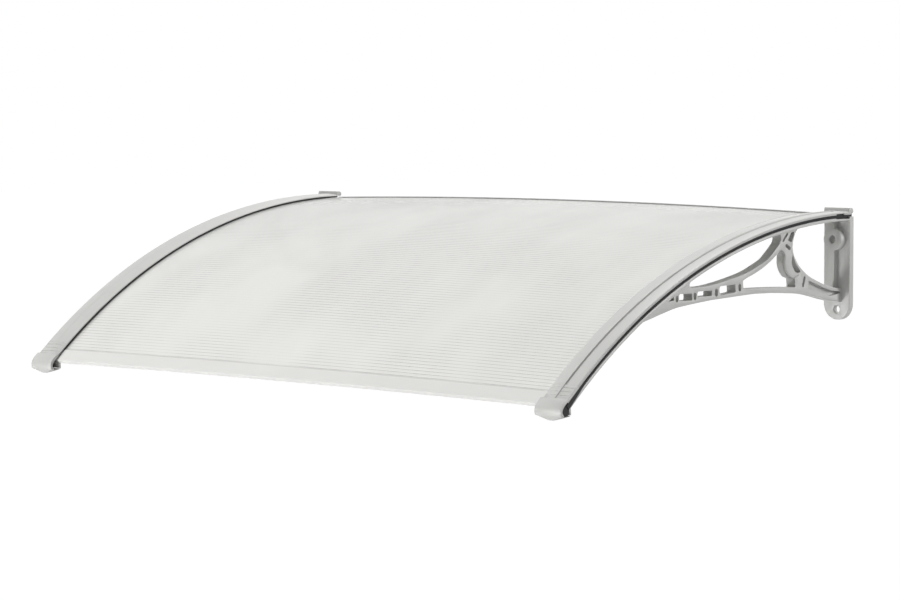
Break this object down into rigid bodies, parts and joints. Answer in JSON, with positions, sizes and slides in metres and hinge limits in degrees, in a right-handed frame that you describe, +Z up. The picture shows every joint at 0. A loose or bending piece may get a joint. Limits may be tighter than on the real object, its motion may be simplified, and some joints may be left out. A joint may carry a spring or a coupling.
{
  "type": "arched door canopy",
  "caption": "Arched door canopy: a clear twin-wall sheet clamped between two moulded wall brackets with cover strips, end caps and a front edging",
  "frame": {"origin": "On the wall plane, in the middle of the width, at the level of the arch line where the sheet meets the wall", "axes": "X runs along the wall, to the right as seen from the front. Y runs into the wall, so the canopy reaches out towards -Y. Z is up"},
  "size_m": [1.2, 0.6573, 0.2856],
  "materials": {
    "sheet": "clear twin-wall polycarbonate",
    "front_profile": "translucent extruded edging",
    "rear_seal": "soft grey seal",
    "bracket_left": "fine grained moulded plastic",
    "cover_strip_left": "fine grained moulded plastic",
    "front_cap_left": "fine grained moulded plastic",
    "rear_cap_left": "fine grained moulded plastic",
    "side_gasket_left": "matt black rubber",
    "lip_gasket_left": "matt black rubber",
    "clamp_screw_left_1": "zinc plated",
    "clamp_screw_left_2": "zinc plated",
    "clamp_screw_left_3": "zinc plated",
    "clamp_screw_left_4": "zinc plated",
    "bracket_right": "fine grained moulded plastic",
    "cover_strip_right": "fine grained moulded plastic",
    "front_cap_right": "fine grained moulded plastic",
    "rear_cap_right": "fine grained moulded plastic",
    "side_gasket_right": "matt black rubber",
    "lip_gasket_right": "matt black rubber",
    "clamp_screw_right_1": "zinc plated",
    "clamp_screw_right_2": "zinc plated",
    "clamp_screw_right_3": "zinc plated",
    "clamp_screw_right_4": "zinc plated"
  },
  "bodies": {
    "root": {"sheet": "sheet", "front_profile": "front_profile", "rear_seal": "rear_seal", "bracket_left": "bracket_left", "cover_strip_left": "cover_strip_left", "front_cap_left": "front_cap_left", "rear_cap_left": "rear_cap_left", "side_gasket_left": "side_gasket_left", "lip_gasket_left": "lip_gasket_left", "clamp_screw_left_1": "clamp_screw_left_1", "clamp_screw_left_2": "clamp_screw_left_2", "clamp_screw_left_3": "clamp_screw_left_3", "clamp_screw_left_4": "clamp_screw_left_4", "bracket_right": "bracket_right", "cover_strip_right": "cover_strip_right", "front_cap_right": "front_cap_right", "rear_cap_right": "rear_cap_right", "side_gasket_right": "side_gasket_right", "lip_gasket_right": "lip_gasket_right", "clamp_screw_right_1": "clamp_screw_right_1", "clamp_screw_right_2": "clamp_screw_right_2", "clamp_screw_right_3": "clamp_screw_right_3", "clamp_screw_right_4": "clamp_screw_right_4"}
  },
  "joints": []
}
